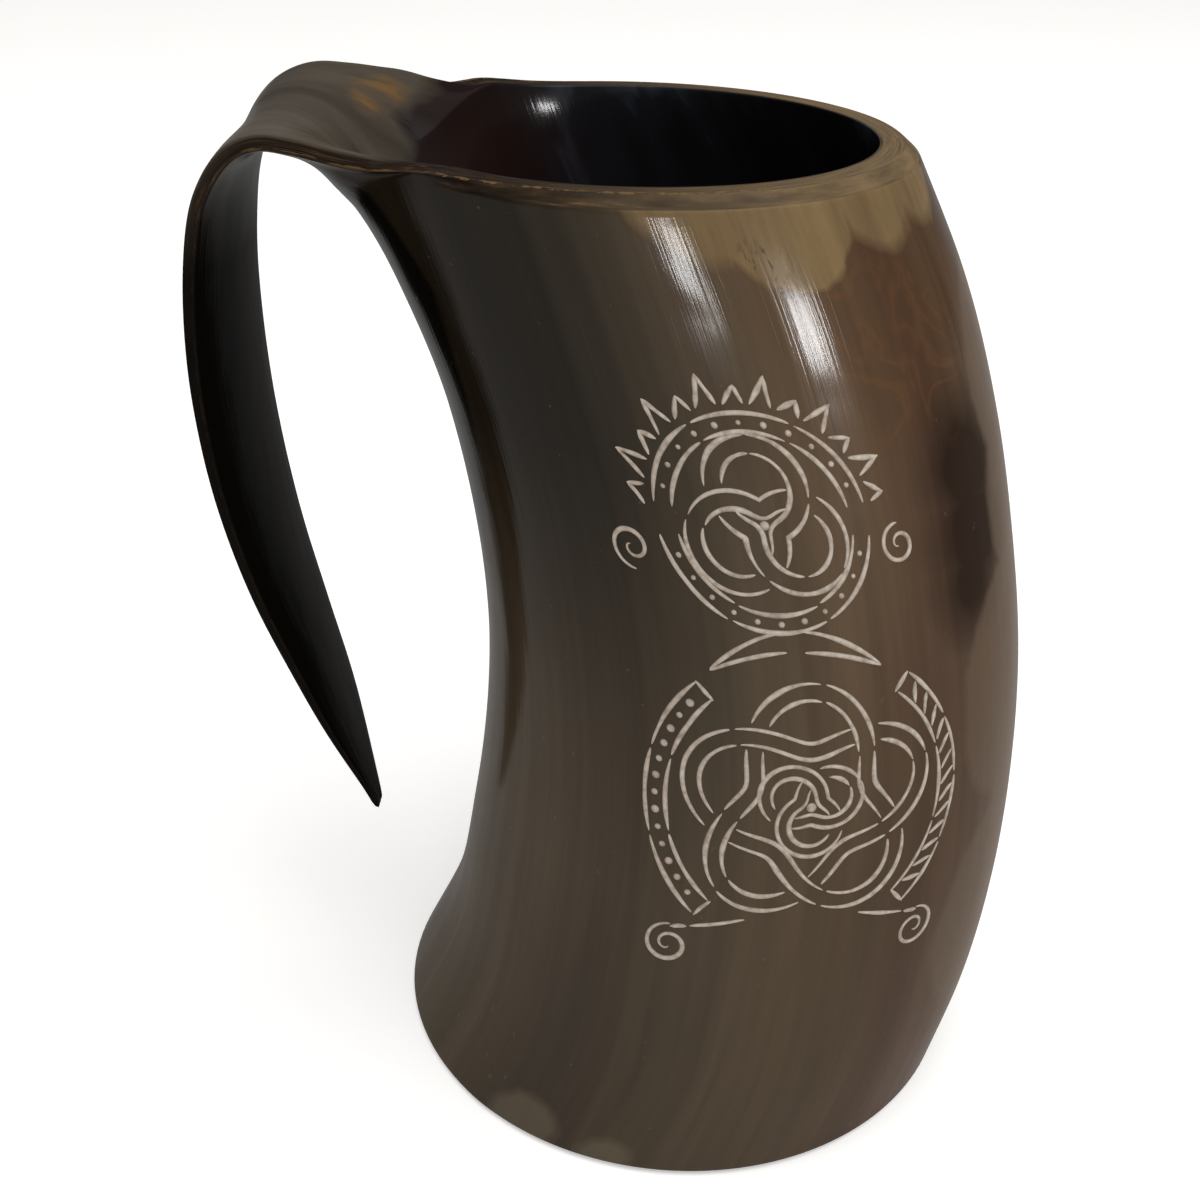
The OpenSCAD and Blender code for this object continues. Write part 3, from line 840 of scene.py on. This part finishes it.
    # Relief in millimetres: scratches along the grain, soft unevenness, and flats ground by hand
    scratch = streaks(1900, 25, 2)
    uneven = node("TexNoise", {0: grain, "Scale": 45.0, "Detail": 2.0})
    flats = marks(((-103, 100, 40), (-113, 162, 24), (110, 120, 34)), 24.0, 0.0, 0.0, "SMOOTHSTEP")
    worn_rim = marks(((-94, 161, 11),), 11.0, 0.0, 0.0, "SMOOTHSTEP")
    flats = node("Math", (flats, worn_rim), operation="MAXIMUM")
    relief = node("Math", (scratch, 0.03), operation="MULTIPLY")
    relief = node("Math", (uneven, 0.35, relief), operation="MULTIPLY_ADD")
    relief = node("Math", (flats, -0.5, relief), operation="MULTIPLY_ADD")
    bump = node("Bump", {"Height": relief, "Strength": 1.0, "Distance": MM})
    rough = node("Math", (cut, 0.3, 0.15), operation="MULTIPLY_ADD")
    rough = node("Math", (scratch, 0.2, rough), operation="MULTIPLY_ADD")

    # Wax: thin on the free handle, and mostly worn off at its roots, the cut and the blotch
    wax = node("Math", (free, -0.15, 0.2), operation="MULTIPLY_ADD")
    far_root = marks(((41, 157, 11),), 6.0, 0.0, 1.0)
    worn = node("Math", (far_root, inside), operation="MULTIPLY")
    under_roots = marks(((-37, 157.5, 9), (37, 157.5, 9)), 6.0, 0.0)
    under_roots = node("Math", (under_roots, outside), operation="MULTIPLY")
    for rubbed in (under_roots, cut, bare_blotch):
        worn = node("Math", (worn, rubbed), operation="MAXIMUM")
    left_on = node("Math", (worn, -0.7, 1.0), operation="MULTIPLY_ADD")
    wax = node("Math", (wax, left_on), operation="MULTIPLY")
    shader = node("BsdfPrincipled", {
        "Base Color": base, "Roughness": rough, "Normal": bump, "IOR": 1.54,
        "Specular IOR Level": 0.0, "Coat Weight": wax, "Coat Roughness": 0.13, "Coat IOR": 1.5,
        "Coat Normal": bump})
    node("OutputMaterial", (shader,))
    return material


def fill_material():
    """Ivory paint rubbed into the cut lines: matt, a little pink, and browner at the edges, where
    the paint thins and the groove's shade is painted in.
    """
    material, node = new_material("ivory_engraving_paint")
    place = node("TexCoord", give="Object")
    mottle = node("TexNoise", {0: place, "Scale": 900.0, "Detail": 3.0})
    pale = node("ValToRGB", (mottle,), ((0.3, "#9c8b7b"), (0.5, "#bdae9e"), (0.7, "#cfc3b5")))
    edge = node("Attribute", give="Fac", attribute_name="edge")
    # Browner edges: thinner paint, and painted shade of the groove's sides
    worn = node("Math", (edge, 3.0), operation="POWER")
    worn = node("Math", (worn, 0.75), operation="MULTIPLY")
    shade = node("Mix", {0: worn, 6: pale, 7: "#4a3a2f"}, give=2, data_type="RGBA")
    bump = node("Bump", {"Height": mottle, "Strength": 0.5, "Distance": 0.1 * MM})
    shader = node("BsdfPrincipled", {"Base Color": shade, "Roughness": 0.7, "Normal": bump})
    node("OutputMaterial", (shader,))
    return material


def plate_material():
    """Walnut, turned and oiled: straight dark grain lines across the plate."""
    material, node = new_material("oiled_walnut")
    place = node("TexCoord", give="Object")
    long_way = node("Mapping", {0: place, "Scale": (14.0, 220.0, 40.0)})
    figure = node("TexNoise", {0: long_way, "Scale": 1.0, "Detail": 6.0, "Distortion": 1.2})
    shade = node("ValToRGB", (figure,), ((0.32, "#24160d"), (0.5, "#3f2818"), (0.68, "#5a3b24")))
    bump = node("Bump", {"Height": figure, "Strength": 0.3, "Distance": 0.1 * MM})
    shader = node("BsdfPrincipled", {"Base Color": shade, "Roughness": 0.45, "Normal": bump})
    node("OutputMaterial", (shader,))
    return material


def resin_material():
    """Brown casting resin, poured and set: smooth, glossy and uneven in depth."""
    material, node = new_material("brown_casting_resin")
    cloud = node("TexNoise", {0: node("TexCoord", give="Object"), "Scale": 160.0, "Detail": 3.0})
    shade = node("ValToRGB", (cloud,), ((0.35, "#0d0806"), (0.7, "#24150c")))
    shader = node("BsdfPrincipled", {"Base Color": shade, "Roughness": 0.12, "IOR": 1.5})
    node("OutputMaterial", (shader,))
    return material


# Stage in metres, degrees and watts: floor, room, lamps and camera
floor_reach = 4.0
floor_gap = 0.0002
floor_glow = 0.42
room_colour = (1.0, 0.98, 0.95, 1)
room_strength = 0.35
cup_middle = (0, 0, 0.09)
cup_top = (0, 0, 0.14)
camera_place = (-0.0071, -0.228, 0.2053)
camera_heading = math.radians(2.04)
camera_pitch = math.radians(29.03)
camera_roll = math.radians(1.27)
camera_lens = 47.4


def add_light(name, place, towards, size, power, lights_all=True):
    """Soft box of so many metres each way, turned to face a point. A window only shows in the
    gloss, because the room's own light is already in the soft box."""
    data = bpy.data.lights.new(name, "AREA")
    data.shape = "RECTANGLE"
    data.size, data.size_y = size
    data.energy = power
    lamp = bpy.data.objects.new(name, data)
    way = Vector(place) - Vector(towards)
    lamp.rotation_euler = way.to_track_quat("Z", "Y").to_euler()
    lamp.location = place
    lamp.visible_diffuse = lights_all
    bpy.context.scene.collection.objects.link(lamp)


def stage_and_lights():
    """Pale floor, soft boxes and the camera at the photograph's angle."""
    scene = bpy.context.scene
    mesh = bpy.data.meshes.new("pale_floor")
    mesh.from_pydata([(x * floor_reach, y * floor_reach, -floor_gap) for x, y in
                      ((-1, -1), (1, -1), (1, 1), (-1, 1))], [], [(0, 1, 2, 3)])
    floor = bpy.data.objects.new("pale_floor", mesh)
    scene.collection.objects.link(floor)
    material, node = new_material("white_sweep_board")
    camera_ray, glossy_ray, transmission_ray = (
        node("LightPath", give=ray) for ray in ("Is Camera Ray", "Is Glossy Ray",
                                                "Is Transmission Ray"))
    seen = node("Math", (camera_ray, glossy_ray), operation="MAXIMUM")
    seen = node("Math", (seen, transmission_ray), operation="MAXIMUM")
    glow = node("Math", (seen, floor_glow), operation="MULTIPLY")
    board = node("BsdfPrincipled", {"Base Color": "#f2f1ef", "Roughness": 0.9,
                                    "Specular IOR Level": 0.0, "Emission Color": "#ffffff",
                                    "Emission Strength": glow})
    node("OutputMaterial", (board,))
    mesh.materials.append(material)

    world = bpy.data.worlds.new("soft_room")
    scene.world = world
    world.use_nodes = True
    room = world.node_tree.nodes["Background"]
    room.inputs["Color"].default_value = room_colour
    room.inputs["Strength"].default_value = room_strength

    add_light("top_softbox", (0.3, -0.35, 1.6), cup_middle, (1.6, 1.6), 22)
    add_light("left_window", (0.31, -1.49, 0.1), cup_top, (0.2, 0.16), 8.5, False)
    add_light("right_window", (1.13, -1.02, 0.23), cup_top, (0.24, 0.2), 16, False)

    camera = bpy.data.objects.new("camera", bpy.data.cameras.new("camera"))
    camera.data.sensor_width = 36
    camera.data.lens = camera_lens
    camera.data.clip_start = 0.01
    camera.matrix_world = (Matrix.Translation(camera_place)
                           @ Matrix.Rotation(camera_heading, 4, "Z")
                           @ Matrix.Rotation(math.pi / 2 - camera_pitch, 4, "X")
                           @ Matrix.Rotation(camera_roll, 4, "Z"))
    scene.collection.objects.link(camera)
    scene.camera = camera
    scene.view_settings.view_transform = "Standard"


stage_and_lights()

cup = horn()
soften = cup.modifiers.new("soften", "SUBSURF")
soften.levels = soften.render_levels = 1
cup.data.materials.append(horn_material())
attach(cup, "root")
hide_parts("horn_body")

fill = engraving()
fill.data.materials.append(fill_material())
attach(fill, "root")

for node, made in (("base_plate", plate_material), ("base_seal", resin_material)):
    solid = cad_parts[node]
    solid.data.materials.clear()
    solid.data.materials.append(made())
